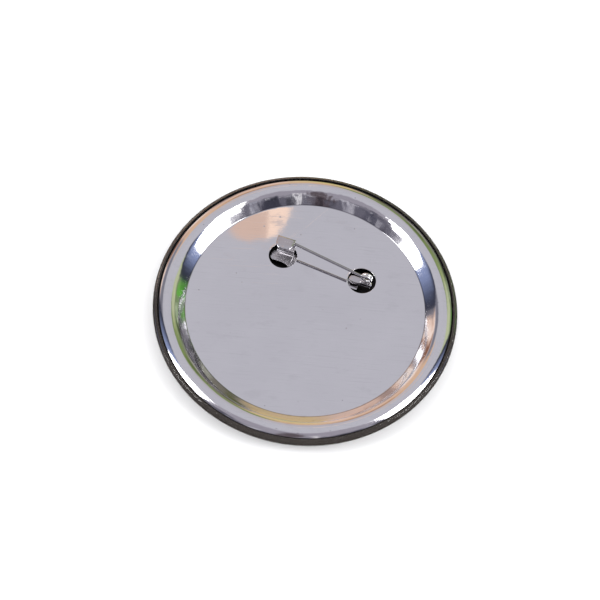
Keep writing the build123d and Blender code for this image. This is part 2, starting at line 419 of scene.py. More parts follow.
def build_bar():
    X, Y, Z = Vector((1, 0, 0)), Vector((0, 1, 0)), Vector((0, 0, 1))
    # side view (along, height) of the strip's upper face, through the fold and back along the tongue
    low, high, t = BAR_LOW, BAR_HIGH, BAR_T
    tongue_low = low + 2 * WIRE_R + 0.02
    side = [(-13.78, low), (-6.6, low), (-4.4, high), (3.2, high), (5.4, low), (12.6, low)]
    s1 = sample_path(side, [0.9] * 4, step=5, run=0.12)
    s1 += [(Vector((a, low)), Vector((0, 1))) for a in (9.42, 9.5, 9.56, 9.62, 9.67, 9.71, 9.745, 9.77, 9.785, 9.795, 9.80, 9.803)]
    s1.sort(key=lambda q: q[0].x)
    c, r = Vector((12.6, (tongue_low + low) / 2)), (tongue_low - low) / 2
    s2 = []
    for k in range(1, 25):
        w = math.radians(-90 + 180 * k / 24)
        d = Vector((math.cos(w), math.sin(w)))
        s2.append((c + d * r, -d))
    k = 52
    s3 = [(Vector((12.6, tongue_low)).lerp(Vector((7.08, tongue_low)), i / k), Vector((0, -1))) for i in range(1, k + 1)]
    # reach across the bar: far and near edges, by distance along
    far1 = [(-13.6, 1.2), (-12.75, 1.6), (-12.7, 1.2), (-8.2, 1.2), (-8.05, BAR_W / 2), (4.6, BAR_W / 2), (6.6, 1.10), (12.6, 0.50)]
    near1 = [(-13.6, -0.55), (-12.7, -1.10), (-10.4, -1.10), (-9.6, -1.20), (-8.7, -1.55), (-7.9, -1.98), (-7.2, -BAR_W / 2)]
    near1 += [(9.8 - 0.4 * math.cos(math.radians(w)), -BAR_W / 2 + 0.4 - 0.4 * math.sin(math.radians(w))) for w in (90, 75, 60, 45, 30, 15, 3)]
    near1 += [(9.8025, -0.55), (12.6, -0.55)]
    bm = bmesh.new()
    rings = []
    x0, x1 = -13.78, -12.7
    for p, n in s1:
        if p.x < x1:
            u = (p.x - x0) / (x1 - x0)
            h = math.sqrt(max(0.0, 1 - (1 - u) ** 2))
            lo, hi = 0.25 - 1.35 * max(h, 0.08), 0.25 + 1.35 * max(h, 0.08)
        else:
            lo, hi = interp(near1, p.x), interp(far1, p.x)
        lo2, hi2 = lo, hi
        rings.append(strip_section(bar(p.x, 0, p.y), Vector((n.x, 0, n.y)), Y, lo2, hi2, t, 0))
    for p, n in s2:
        rings.append(strip_section(bar(p.x, 0, p.y), Vector((n.x, 0, n.y)), Y, -0.55, 0.50, t, 0))
    far3 = [(7.08, 0.0), (8.2, 0.95), (9.6, 0.92), (11.2, 0.50), (12.6, 0.50)]
    near3 = [(7.08, 0.0), (8.2, -1.22), (9.2, -1.15), (10.3, -0.55), (12.6, -0.55)]
    for p, n in s3:
        if p.x < 8.2:
            u = (p.x - 7.08) / 1.12
            h = max(0.07, math.sqrt(max(0.0, 1 - (1 - u) ** 2)))
            lo, hi = -0.135 - 1.085 * h, -0.135 + 1.085 * h
        else:
            lo, hi = smooth_table(near3, p.x, 0.25) if p.x > 8.6 else -1.22, smooth_table(far3, p.x, 0.25) if p.x > 8.6 else 0.95
        rings.append(strip_section(bar(p.x, 0, p.y), Vector((n.x, 0, n.y)), Y, lo, hi, t, 0))
    skin(rings, bm=bm)
    ribbon = finish_mesh(bm, "bar_ribbon", 50)

    # the catch, seen end-on (across, height): base, leaning wall, fold, flap
    wall_b = CATCH_IN + CATCH_LEAN * FLAP_H
    free_b = wall_b - FLAP_LEN * math.cos(FLAP_RISE)
    free_z = FLAP_H + FLAP_LEN * math.sin(FLAP_RISE)
    end = [(0.9, low - 0.004), (CATCH_IN + CATCH_LEAN * low, low - 0.004), (wall_b, FLAP_H), (free_b, free_z)]
    s = sample_path(end, [0.45, 0.32], step=5, run=0.10)
    half = CATCH_W / 2
    rings = []
    total = free_b
    for p, n in s:
        h = half
        if p.y < -0.2:
            h = half - 0.01
        if p.y > FLAP_H - 0.2 and p.x < wall_b - 0.4:
            d = p.x - free_b
            h = half - 0.22 * (1 - (p.x - free_b) / (wall_b - 0.4 - free_b))
            if d < 1.75:
                u = max(0.0, 1 - d / 1.75)
                h = h - 1.75 * (1 - math.sqrt(max(0.0, 1 - u * u)))
        rings.append(strip_section(bar(CATCH_A, 0, 0) + Y * p.x + Z * p.y, Y * n.x + Z * n.y, X, -h, h, BAR_T, 0))
    bm = skin(rings)
    hook = finish_mesh(bm, "bar_hook", 50)

    mod = ribbon.modifiers.new("join", "BOOLEAN")
    mod.operation, mod.solver, mod.object = "UNION", "EXACT", hook
    dg = bpy.context.evaluated_depsgraph_get()
    me = bpy.data.meshes.new_from_object(ribbon.evaluated_get(dg))
    ribbon.modifiers.clear()
    old = ribbon.data
    ribbon.data = me
    me.name = "pin_strip"
    ribbon.name = "pin_strip"
    bpy.data.objects.remove(hook)
    return ribbon


strip = build_bar()

# ------------------------------------------------------------------ spring wire and pin
helix_deg = math.atan(COIL_PITCH / (2 * math.pi * COIL_R))
coil_top = bar(COIL_A, COIL_B, COIL_Z + COIL_R)
lead_dir = Vector((-math.cos(helix_deg), -math.sin(helix_deg), 0))
pivot = coil_top + lead_dir * LEAD
coil_end = bar(COIL_A + COIL_R, COIL_B + COIL_PITCH * COIL_TURNS, COIL_Z)
leg_dir = Vector((0, math.sin(helix_deg), -math.cos(helix_deg)))
leg_z = BAR_LOW + WIRE_R + 0.01
leg_corner = coil_end + leg_dir * ((COIL_Z - leg_z) / math.cos(helix_deg))
leg_end = bar(8.2, 0.15, leg_z)


def build_coil():
    pts, rad = [], []
    d1 = (leg_end - leg_corner).normalized()
    d0 = (leg_corner - coil_end).normalized()
    turn = d0.angle(d1)
    t = 0.75 * math.tan(turn / 2)
    a, b = leg_corner - d0 * t, leg_corner + d1 * t
    L = (leg_end - b).length
    # rounded cut end
    for k in range(4):
        w = math.radians(90 * (3 - k) / 3)
        pts.append(leg_end - d1 * (0.06 * (1 - math.sin(w))))
        rad.append(WIRE_R - 0.06 * (1 - math.cos(w)))
    for k in range(1, 16):
        pts.append((leg_end - d1 * 0.06).lerp(b, k / 15))
        rad.append(WIRE_R)
    axis = d0.cross(d1).normalized()
    c = a + (d1 - d0 * d0.dot(d1)).normalized() * 0.75
    n = 14
    for k in range(1, n + 1):
        w = -turn * k / n
        pts.append(c + Quaternion(axis, w) @ (b - c))
        rad.append(WIRE_R)
    for k in range(1, 11):
        pts.append(a.lerp(coil_end, k / 10))
        rad.append(WIRE_R)
    n = int(72 * COIL_TURNS)
    for k in range(1, n + 1):
        w = 2 * math.pi * COIL_TURNS * (1 - k / n)
        pts.append(bar(COIL_A + COIL_R * math.sin(w), COIL_B + COIL_PITCH * w / (2 * math.pi), COIL_Z + COIL_R * math.cos(w)))
        rad.append(WIRE_R)
    back = math.sqrt(CUP_R ** 2 - WIRE_R ** 2)
    for k in range(1, 9):
        pts.append(coil_top.lerp(pivot - lead_dir * back, k / 8))
        rad.append(WIRE_R)
    rings, T = tube(pts, rad, 32)
    # hollow end round the pin's ball
    for k in range(1, 7):
        r = WIRE_R * (1 - k / 6.5)
        x = math.sqrt(CUP_R ** 2 - r * r)
        centre = pivot - lead_dir * x
        base = rings[-1 - (k - 1)] if False else rings[len(pts) - 1]
        mid = sum(base, Vector()) / len(base)
        rings.append([centre + (q - mid).normalized() * r for q in base])
    return finish_mesh(skin(rings), "wire_coil", 40)


coil = build_coil()


def build_arm():
    d = Vector((-1, 0.1250, 0.0617)).normalized()
    pts, rad = [], []
    for k in range(12):
        w = math.radians(90 * k / 12 + 1.5)
        pts.append(pivot - d * WIRE_R * math.cos(w))
        rad.append(WIRE_R * math.sin(w))
    for k in range(0, 61):
        pts.append(pivot + d * (ARM_RUN * k / 60))
        rad.append(WIRE_R)
    # ground point: slightly full, as a drawn file leaves it
    for k in range(1, 31):
        u = k / 30
        pts.append(pivot + d * (ARM_RUN + TAPER_RUN * u))
        rad.append(POINT_R + (WIRE_R - POINT_R) * (1 - u) ** 0.92 if u < 1 else POINT_R)
    pts.append(pivot + d * (ARM_RUN + TAPER_RUN + POINT_R * 0.7))
    rad.append(POINT_R * 0.5)
    rings, _ = tube(pts, rad, 32)
    return finish_mesh(skin(rings), "wire_pin", 40)


arm = build_arm()


# ------------------------------------------------------------------ node helpers
def nd(nt, kind, props=None, **inputs):
    n = nt.nodes.new(kind)
    for k, v in (props or {}).items():
        setattr(n, k, v)
    for k, v in inputs.items():
        key = int(k[1:]) if k[0] == "_" and k[1:].isdigit() else k.replace("_", " ")
        if isinstance(v, bpy.types.NodeSocket):
            nt.links.new(v, n.inputs[key])
        else:
            n.inputs[key].default_value = v
    return n


def math_(nt, op, a, b=0.0, c=0.0, clamp=False):
    n = nd(nt, "ShaderNodeMath", {"operation": op, "use_clamp": clamp}, _0=a, _1=b, _2=c)
    return n.outputs[0]


def ramp(nt, x, lo, hi, a=0.0, b=1.0, smooth=True):
    return nd(nt, "ShaderNodeMapRange", {"interpolation_type": "SMOOTHSTEP" if smooth else "LINEAR"},
              Value=x, From_Min=lo, From_Max=hi, To_Min=a, To_Max=b).outputs[0]


def mix(nt, f, a, b):
    n = nt.nodes.new("ShaderNodeMix")
    n.data_type = "RGBA"
    for i, v in ((0, f), (6, a), (7, b)):
        if isinstance(v, bpy.types.NodeSocket):
            nt.links.new(v, n.inputs[i])
        else:
            n.inputs[i].default_value = v if not isinstance(v, tuple) else (*v[:3], 1.0)
    return n.outputs[2]


def vec(nt, op, a, b=(0, 0, 0), out=0):
    return nd(nt, "ShaderNodeVectorMath", {"operation": op}, _0=a, _1=b).outputs[out]


def mm_coords(nt):
    """Place on the object in millimetres."""
    t = nd(nt, "ShaderNodeTexCoord").outputs["Object"]
    s = nd(nt, "ShaderNodeVectorMath", {"operation": "SCALE"}, _0=t, Scale=1000.0)
    return s.outputs[0]


def stretch(nt, p, scale, turn=0.0):
    q = nd(nt, "ShaderNodeVectorRotate", {"rotation_type": "Z_AXIS"}, Vector=p, Angle=math.radians(turn)).outputs[0] if turn else p
    return vec(nt, "MULTIPLY", q, scale)


def noise_tex(nt, p, scale=1.0, detail=2.0, rough=0.5):
    return nd(nt, "ShaderNodeTexNoise", None, Vector=p, Scale=scale, Detail=detail, Roughness=rough).outputs["Fac"]


def specks(nt, p, scale, size, keep):
    """Small round dots, one in some of the cells of the given scale."""
    v = nd(nt, "ShaderNodeTexVoronoi", {"feature": "F1"}, Vector=p, Scale=scale, Randomness=1.0)
    dot = ramp(nt, v.outputs["Distance"], size, size * 0.5)
    some = nd(nt, "ShaderNodeSeparateColor", None, Color=v.outputs["Color"])
    pick = ramp(nt, some.outputs[0], 1 - keep, 1 - keep + 0.01)
    return math_(nt, "MULTIPLY", dot, pick)


def scratch(nt, p, turn, density, seed):
    """Sparse straight scratches lying along one direction."""
    q = stretch(nt, p, (0.05, 5.0, 5.0), turn)
    q = vec(nt, "ADD", q, (seed, seed * 2.3, seed))
    bend = noise_tex(nt, stretch(nt, p, (0.12, 0.12, 0.12)), 1.0, 1.0)
    q = vec(nt, "ADD", q, nd(nt, "ShaderNodeCombineXYZ", None, Y=math_(nt, "MULTIPLY", bend, 4.0)).outputs[0])
    n = noise_tex(nt, q, 1.0, 1.0, 0.4)
    return ramp(nt, n, density, density + 0.05)


def new_mat(name):
    m = bpy.data.materials.new(name)
    m.use_nodes = True
    nt = m.node_tree
    nt.nodes.clear()
    out = nd(nt, "ShaderNodeOutputMaterial")
    return m, nt, out


def bump(nt, height, distance, strength=1.0, normal=None):
    kw = {"Normal": normal} if normal is not None else {}
    return nd(nt, "ShaderNodeBump", None, Height=height, Distance=distance, Strength=strength, **kw).outputs[0]


# ------------------------------------------------------------------ materials
def mat_tinplate():
    m, nt, out = new_mat("tinplate")
    p = mm_coords(nt)
    xyz = nd(nt, "ShaderNodeSeparateXYZ", None, Vector=p)
    flat_p = nd(nt, "ShaderNodeCombineXYZ", None, X=xyz.outputs[0], Y=xyz.outputs[1]).outputs[0]
    r = vec(nt, "LENGTH", flat_p, out=1)
    wall = ramp(nt, r, 29.3, 30.2)
    grain = noise_tex(nt, stretch(nt, p, (0.10, 3.2, 3.2), -15), 1.0, 3.0, 0.6)
    grain_fine = noise_tex(nt, stretch(nt, p, (0.45, 14.0, 14.0), -15), 1.0, 2.0, 0.5)
    cloud = noise_tex(nt, p, 0.075, 4.0, 0.55)
    blot = noise_tex(nt, stretch(nt, p, (0.16, 0.34, 0.3), -15), 1.0, 5.0, 0.62)
    smear = ramp(nt, blot, 0.54, 0.74)
    pits = specks(nt, p, 0.42, 0.10, 0.30)
    motes = specks(nt, p, 1.1, 0.13, 0.10)
    s1 = scratch(nt, p, -17, 0.715, 3.0)
    s2 = scratch(nt, p, 38, 0.745, 11.0)
    s3 = scratch(nt, p, -62, 0.75, 23.0)
    lines = math_(nt, "MAXIMUM", math_(nt, "MAXIMUM", s1, s2), s3)
    # scuffs along the crest, and painted shade along the seam under the turned-in edge, uneven in strength
    scuff_n = noise_tex(nt, p, 1.7, 4.0, 0.7)
    crest = math_(nt, "MULTIPLY", ramp(nt, r, 33.1, 34.2), ramp(nt, r, 36.1, 35.4))
    scuff = math_(nt, "MULTIPLY", crest, ramp(nt, scuff_n, 0.60, 0.72))
    seam_shade = math_(nt, "MULTIPLY", ramp(nt, r, 35.95, 36.35), ramp(nt, noise_tex(nt, p, 0.9, 3.0, 0.6), 0.25, 0.65, 0.35, 1.0))
    fold = math_(nt, "MULTIPLY", ramp(nt, r, 29.1, 29.6), ramp(nt, r, 30.3, 29.8))
    # darker in patches along the fold at the foot of the wall
    fold_dark_patches = math_(nt, "MULTIPLY", fold, ramp(nt, noise_tex(nt, p, 0.5, 4.0, 0.6), 0.5, 0.75, 0.0, 0.5))

    base = mix(nt, cloud, (0.775, 0.768, 0.788), (0.860, 0.852, 0.868))
    base = mix(nt, math_(nt, "MULTIPLY", smear, 0.30), base, (0.68, 0.67, 0.69))
    base = mix(nt, ramp(nt, grain, 0.55, 0.72, 0.0, 0.36), base, (0.70, 0.69, 0.71))
    base = mix(nt, ramp(nt, grain, 0.42, 0.27, 0.0, 0.32), base, (0.90, 0.89, 0.91))
    base = mix(nt, math_(nt, "MULTIPLY", lines, 0.16), base, (0.93, 0.93, 0.94))
    base = mix(nt, math_(nt, "MULTIPLY", pits, 0.45), base, (0.30, 0.29, 0.30))
    base = mix(nt, math_(nt, "MULTIPLY", motes, 0.35), base, (0.95, 0.95, 0.95))
    base = mix(nt, math_(nt, "MULTIPLY", scuff, 0.30), base, (0.45, 0.44, 0.45))
    base = mix(nt, math_(nt, "MULTIPLY", fold_dark_patches, 0.55), base, (0.34, 0.32, 0.31))
    # painted shade: a dark line along the concave crease at the foot of the wall
    crease_shade = math_(nt, "MULTIPLY", ramp(nt, r, 29.42, 29.56), ramp(nt, r, 29.86, 29.70))
    base = mix(nt, math_(nt, "MULTIPLY", crease_shade, 0.55), base, (0.22, 0.22, 0.24))
    # painted shade: the seam under the turned-in edge darkened to near-black
    base = mix(nt, math_(nt, "MULTIPLY", seam_shade, 0.85), base, (0.055, 0.048, 0.045))

    rough = ramp(nt, grain, 0.3, 0.7, 0.020, 0.036, False)
    rough = math_(nt, "ADD", rough, math_(nt, "MULTIPLY", smear, 0.06))
    rough = math_(nt, "ADD", rough, math_(nt, "MULTIPLY", wall, 0.050))
    rough = math_(nt, "ADD", rough, math_(nt, "MULTIPLY", scuff, 0.16))
    rough = math_(nt, "ADD", rough, math_(nt, "MULTIPLY", lines, 0.05))
    rough = math_(nt, "ADD", rough, math_(nt, "MULTIPLY", seam_shade, 0.25))

    # draw marks: fine ridges running up the pressed wall
    round_ = vec(nt, "NORMALIZE", flat_p)
    ring = nd(nt, "ShaderNodeVectorMath", {"operation": "SCALE"}, _0=round_, Scale=34.0).outputs[0]
    ring = vec(nt, "ADD", ring, nd(nt, "ShaderNodeCombineXYZ", None, Z=math_(nt, "MULTIPLY", r, 0.10)).outputs[0])
    draw = noise_tex(nt, ring, 3.6, 3.0, 0.6)
    draw_wide = noise_tex(nt, ring, 0.8, 2.0, 0.5)
    draw = math_(nt, "MULTIPLY", math_(nt, "ADD", draw, math_(nt, "MULTIPLY", draw_wide, 1.6)), wall)
    nrm = bump(nt, grain, 0.00000035)
    nrm = bump(nt, draw, 0.0000030, normal=nrm)
    nrm = bump(nt, grain_fine, 0.00000008, normal=nrm)
    nrm = bump(nt, noise_tex(nt, p, 1.1, 3.0, 0.6), 0.00000035, normal=nrm)
    nrm = bump(nt, lines, -0.0000005, normal=nrm)
    nrm = bump(nt, pits, -0.000006, normal=nrm)
    bs = nd(nt, "ShaderNodeBsdfPrincipled", None, Base_Color=base, Metallic=1.0, Roughness=rough, Normal=nrm)
    nt.links.new(bs.outputs[0], out.inputs[0])
    m.diffuse_color = (0.8, 0.79, 0.82, 1)
    return m


def mat_strip():
    m, nt, out = new_mat("bar_steel")
    p = mm_coords(nt)
    grain = noise_tex(nt, stretch(nt, p, (0.35, 4.0, 4.0)), 1.0, 2.0, 0.5)
    fine = noise_tex(nt, stretch(nt, p, (1.2, 16.0, 16.0)), 1.0, 2.0, 0.5)
    cloud = noise_tex(nt, p, 0.8, 4.0, 0.6)
    spot = specks(nt, p, 1.3, 0.13, 0.10)
    # edges painted light as edge highlights, partly burnished wear: where a rounded-off normal parts from the true one
    geo = nd(nt, "ShaderNodeNewGeometry")
    soft = nd(nt, "ShaderNodeBevel", {"samples": 8}, Radius=0.00013)
    turn = vec(nt, "DOT_PRODUCT", soft.outputs[0], geo.outputs["Normal"], out=1)
    edge_wear_and_highlight = ramp(nt, turn, 0.985, 0.90)
    edge_wear_and_highlight = math_(nt, "MULTIPLY", edge_wear_and_highlight, ramp(nt, noise_tex(nt, p, 1.6, 3.0, 0.6), 0.30, 0.55, 0.45, 1.0))
    place = nd(nt, "ShaderNodeSeparateXYZ", None, Vector=p)
    # the painted edge highlight is kept weak inside the fold, where it lies in shade
    inside = math_(nt, "MULTIPLY", ramp(nt, place.outputs[1], 12.5, 12.7), ramp(nt, place.outputs[2], 4.6, 4.2))
    edge_wear_and_highlight = math_(nt, "MULTIPLY", edge_wear_and_highlight, ramp(nt, inside, 0.0, 1.0, 1.0, 0.15, False))
    # three small spots in a row on the catch, painted near-white as the glints of small dents from the forming tool;
    # the dents have no shape of their own
    dent_glints = 0.0
    for dx, dy in ((-10.08, 13.12), (-9.48, 13.28), (-8.88, 13.25)):
        away = nd(nt, "ShaderNodeCombineXYZ", None, X=math_(nt, "SUBTRACT", place.outputs[0], dx), Y=math_(nt, "SUBTRACT", place.outputs[1], dy)).outputs[0]
        dent_glints = math_(nt, "MAXIMUM", dent_glints, ramp(nt, vec(nt, "LENGTH", away, out=1), 0.15, 0.06))
    dent_glints = math_(nt, "MULTIPLY", dent_glints, ramp(nt, place.outputs[2], 8.3, 8.6))
    base = mix(nt, cloud, (0.58, 0.565, 0.58), (0.68, 0.665, 0.68))
    base = mix(nt, math_(nt, "MULTIPLY", dent_glints, 0.9), base, (0.97, 0.97, 0.97))
    base = mix(nt, math_(nt, "MULTIPLY", spot, 0.5), base, (0.26, 0.25, 0.25))
    base = mix(nt, math_(nt, "MULTIPLY", edge_wear_and_highlight, 0.9), base, (0.95, 0.94, 0.95))
    rough = ramp(nt, grain, 0.3, 0.7, 0.070, 0.105, False)
    rough = math_(nt, "ADD", rough, ramp(nt, cloud, 0.4, 0.8, 0.0, 0.05, False))
    rough = math_(nt, "ADD", rough, math_(nt, "MULTIPLY", edge_wear_and_highlight, 0.28))
    # the part that stands inside the plate's left hole is duller than the catch above it
    well = math_(nt, "MULTIPLY", ramp(nt, place.outputs[0], -5.0, -5.6), ramp(nt, place.outputs[2], 5.9, 5.3))
    rough = math_(nt, "ADD", rough, math_(nt, "MULTIPLY", well, 0.24))
    nrm = bump(nt, grain, 0.0000003)
    nrm = bump(nt, fine, 0.00000002, normal=nrm)
    nrm = bump(nt, spot, -0.0000025, normal=nrm)
    bs = nd(nt, "ShaderNodeBsdfPrincipled", None, Base_Color=base, Metallic=1.0, Roughness=rough, Normal=nrm)
    nt.links.new(bs.outputs[0], out.inputs[0])
    m.diffuse_color = (0.62, 0.6, 0.62, 1)
    return m


def mat_wire(kind="wire", dark=(0.43, 0.42, 0.43), light=(0.54, 0.53, 0.54), more=0.0):
    m, nt, out = new_mat(kind)
    p = mm_coords(nt)
    a = nd(nt, "ShaderNodeAttribute", {"attribute_name": "drawn"}).outputs["Vector"]
    lines = noise_tex(nt, vec(nt, "MULTIPLY", a, (6.0, 6.0, 0.12)), 1.0, 3.0, 0.65)
    fine = noise_tex(nt, vec(nt, "MULTIPLY", a, (16.0, 16.0, 0.6)), 1.0, 2.0, 0.5)
    cloud = noise_tex(nt, p, 0.55, 4.0, 0.6)
    spot = specks(nt, p, 2.0, 0.14, 0.18)
    base = mix(nt, cloud, dark, light)
    base = mix(nt, math_(nt, "MULTIPLY", ramp(nt, lines, 0.55, 0.75), 0.30), base, (0.42, 0.41, 0.42))
    base = mix(nt, math_(nt, "MULTIPLY", spot, 0.55), base, (0.20, 0.19, 0.19))
    rough = ramp(nt, lines, 0.3, 0.7, 0.14 + more, 0.24 + more, False)
    rough = math_(nt, "ADD", rough, ramp(nt, cloud, 0.45, 0.8, 0.0, 0.08, False))
    nrm = bump(nt, lines, 0.0000028)
    nrm = bump(nt, fine, 0.0000008, normal=nrm)
    nrm = bump(nt, spot, -0.000006, normal=nrm)
    bs = nd(nt, "ShaderNodeBsdfPrincipled", None, Base_Color=base, Metallic=1.0, Roughness=rough, Normal=nrm)
    nt.links.new(bs.outputs[0], out.inputs[0])
    m.diffuse_color = (0.68, 0.67, 0.68, 1)
    return m


def mat_film():
    m, nt, out = new_mat("film")
    p = mm_coords(nt)
    xyz = nd(nt, "ShaderNodeSeparateXYZ", None, Vector=p)
    flat_p = nd(nt, "ShaderNodeCombineXYZ", None, X=xyz.outputs[0], Y=xyz.outputs[1]).outputs[0]
    r = vec(nt, "LENGTH", flat_p, out=1)
    blot = noise_tex(nt, p, 0.16, 5.0, 0.6)
    haze = ramp(nt, blot, 0.52, 0.76)
    hair = math_(nt, "MAXIMUM", scratch(nt, p, 20, 0.72, 5.0), scratch(nt, p, -48, 0.735, 17.0))
    dust = math_(nt, "MAXIMUM", specks(nt, p, 0.9, 0.10, 0.16), specks(nt, p, 0.35, 0.055, 0.22))
    edge = ramp(nt, r, 36.4, 37.35)
    wear = math_(nt, "MULTIPLY", edge, ramp(nt, noise_tex(nt, p, 1.3, 4.0, 0.7), 0.56, 0.70))
    orange = noise_tex(nt, p, 0.55, 2.0, 0.5)
    rough = math_(nt, "ADD", math_(nt, "MULTIPLY", haze, 0.07), 0.035)
    rough = math_(nt, "ADD", rough, math_(nt, "MULTIPLY", hair, 0.15))
    rough = math_(nt, "ADD", rough, math_(nt, "MULTIPLY", wear, 0.06))
    nrm = bump(nt, orange, 0.000004)
    nrm = bump(nt, hair, -0.0000015, normal=nrm)
    fres = math_(nt, "MULTIPLY", nd(nt, "ShaderNodeFresnel", None, IOR=1.40, Normal=nrm).outputs[0], 0.20)
    clear = nd(nt, "ShaderNodeBsdfTransparent", None, Color=(0.985, 0.985, 0.975, 1)).outputs[0]
    gloss = nd(nt, "ShaderNodeBsdfGlossy", {"distribution": "GGX"}, Color=(1, 1, 1, 1), Roughness=rough, Normal=nrm).outputs[0]
    coat = nd(nt, "ShaderNodeMixShader", None, _0=fres, _1=clear, _2=gloss).outputs[0]
    grit = nd(nt, "ShaderNodeBsdfDiffuse", None, Color=(0.62, 0.60, 0.57, 1)).outputs[0]
    f = math_(nt, "MAXIMUM", math_(nt, "MULTIPLY", dust, 0.6), math_(nt, "MULTIPLY", wear, 0.05))
    f = math_(nt, "MAXIMUM", f, math_(nt, "MULTIPLY", hair, 0.035))
    done = nd(nt, "ShaderNodeMixShader", None, _0=f, _1=coat, _2=grit).outputs[0]
    nt.links.new(done, out.inputs[0])
    m.diffuse_color = (0.9, 0.9, 0.9, 0.3)
    return m


def mat_print():
    m, nt, out = new_mat("print")
    p = mm_coords(nt)
    fibre = noise_tex(nt, stretch(nt, p, (3.0, 9.0, 5.0), 25), 1.0, 4.0, 0.65)
    cloud = noise_tex(nt, p, 0.10, 3.0, 0.5)
    dot = nd(nt, "ShaderNodeTexVoronoi", {"feature": "F1"}, Vector=stretch(nt, p, (1, 1, 1), 45), Scale=5.5, Randomness=0.12)
    tone = ramp(nt, dot.outputs["Distance"], 0.15, 0.55)
    base = mix(nt, cloud, (0.023, 0.020, 0.019), (0.034, 0.029, 0.028))
    base = mix(nt, math_(nt, "MULTIPLY", tone, 0.30), base, (0.075, 0.066, 0.062))
    base = mix(nt, ramp(nt, fibre, 0.60, 0.80, 0.0, 0.25), base, (0.10, 0.088, 0.080))
    nrm = bump(nt, fibre, 0.000006)
    bs = nd(nt, "ShaderNodeBsdfPrincipled", None, Base_Color=base, Roughness=ramp(nt, fibre, 0.3, 0.7, 0.50, 0.66, False), Normal=nrm)
    bs.inputs["Specular IOR Level"].default_value = 0.0
    nt.links.new(bs.outputs[0], out.inputs[0])
    m.diffuse_color = (0.05, 0.045, 0.045, 1)
    return m


def mat_shell_painted_dark():
    m, nt, out = new_mat("shell")
    p = mm_coords(nt)
    grain = noise_tex(nt, stretch(nt, p, (0.3, 5.0, 5.0), 40), 1.0, 3.0, 0.6)
    cloud = noise_tex(nt, p, 0.3, 5.0, 0.65)
    # near-black: painted shade standing in for the dark inside of the badge, seen only through the plate's holes
    base = mix(nt, cloud, (0.022, 0.020, 0.021), (0.050, 0.047, 0.047))
    nrm = bump(nt, grain, 0.000003)
    bs = nd(nt, "ShaderNodeBsdfPrincipled", None, Base_Color=base, Metallic=1.0, Roughness=ramp(nt, grain, 0.3, 0.7, 0.34, 0.5, False), Normal=nrm)
    nt.links.new(bs.outputs[0], out.inputs[0])
    m.diffuse_color = (0.2, 0.2, 0.2, 1)
    return m


def mat_floor():
    m, nt, out = new_mat("floor")
    p = mm_coords(nt)
    c = noise_tex(nt, p, 0.004, 2.0, 0.5)
    base = mix(nt, c, (0.90, 0.90, 0.905), (0.93, 0.93, 0.93))
    bs = nd(nt, "ShaderNodeBsdfPrincipled", None, Base_Color=base, Roughness=0.9)
    bs.inputs["Specular IOR Level"].default_value = 0.0
    nt.links.new(bs.outputs[0], out.inputs[0])
    return m


def wire_attr(ob, seg, axis_len):
    """Stores how far round and along the wire each vertex lies, for its drawing lines."""
    me = ob.data
    at = me.attributes.new("drawn", "FLOAT_VECTOR", "POINT")
    n = len(me.vertices)
    ring = n // seg
    buf = []
    along = 0.0
    prev = None
    for i in range(ring):
        mid = sum((me.vertices[i * seg + k].co for k in range(seg)), Vector()) / seg
        if prev is not None:
            along += (mid - prev).length * 1000
        prev = mid
        for k in range(seg):
            w = 2 * math.pi * k / seg
            buf += [math.cos(w), math.sin(w), along]
    at.data.foreach_set("vector", buf[: n * 3] + [0.0] * (n * 3 - len(buf)))


wire_attr(coil, 32, 0)
wire_attr(arm, 32, 0)

WIRE = mat_wire()
# the coil is the same wire as the pin, given a much lighter copy of its material so that it shows brighter highlights:
# painted light
COIL_WIRE_LIGHTENED = mat_wire("coil_wire_lightened", (0.80, 0.795, 0.80), (0.90, 0.895, 0.90), 0.07)
for ob, mt, body, node_, sl in (
    (film, mat_film(), "badge", "clear_film", "film"),
    (paper, mat_print(), "badge", "printed_disc", "print"),
    (shell, mat_shell_painted_dark(), "badge", "front_shell", "shell"),
    (plate, mat_tinplate(), "badge", "back_plate", "tinplate"),
    (strip, mat_strip(), "badge", "pin_bar", "bar_steel"),
    (coil, COIL_WIRE_LIGHTENED, "badge", "spring_coil", "wire"),
    (arm, WIRE, "pin", "pin_arm", "wire"),
):
    ob.data.materials.clear()
    ob.data.materials.append(mt)
    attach(ob, body)
    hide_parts(node_)

# ------------------------------------------------------------------ floor, light, camera
bm = bmesh.new()
fn = 40
for i in range(fn + 1):
    for j in range(fn + 1):
        bm.verts.new(((i / fn - 0.5) * 12.0, (j / fn - 0.5) * 12.0, -0.00002))
bm.verts.ensure_lookup_table()
for i in range(fn):
    for j in range(fn):
        a = i * (fn + 1) + j
        bm.faces.new([bm.verts[k] for k in (a, a + fn + 1, a + fn + 2, a + 1)])
me = bpy.data.meshes.new("floor")
bm.to_mesh(me)
bm.free()
floor = bpy.data.objects.new("floor", me)
bpy.context.scene.collection.objects.link(floor)
me.materials.append(mat_floor())
floor.visible_glossy = False

RIGHT, AWAY, UP = Vector((0.9726, 0.2325, 0)), Vector((-0.2325, 0.9726, 0)), Vector((0, 0, 1))


def plan(x, y, z):
    """Direction given as right, away, up of the camera -> row frame."""
    return (RIGHT * x + AWAY * y + UP * z).normalized()


world = bpy.data.worlds.new("studio")
bpy.context.scene.world = world
world.use_nodes = True
nt = world.node_tree
nt.nodes.clear()
wout = nd(nt, "ShaderNodeOutputWorld")
D = nd(nt, "ShaderNodeVectorMath", {"operation": "NORMALIZE"}, _0=nd(nt, "ShaderNodeTexCoord").outputs["Generated"]).outputs[0]


def along_(v):
    return vec(nt, "DOT_PRODUCT", D, tuple(v), out=1)


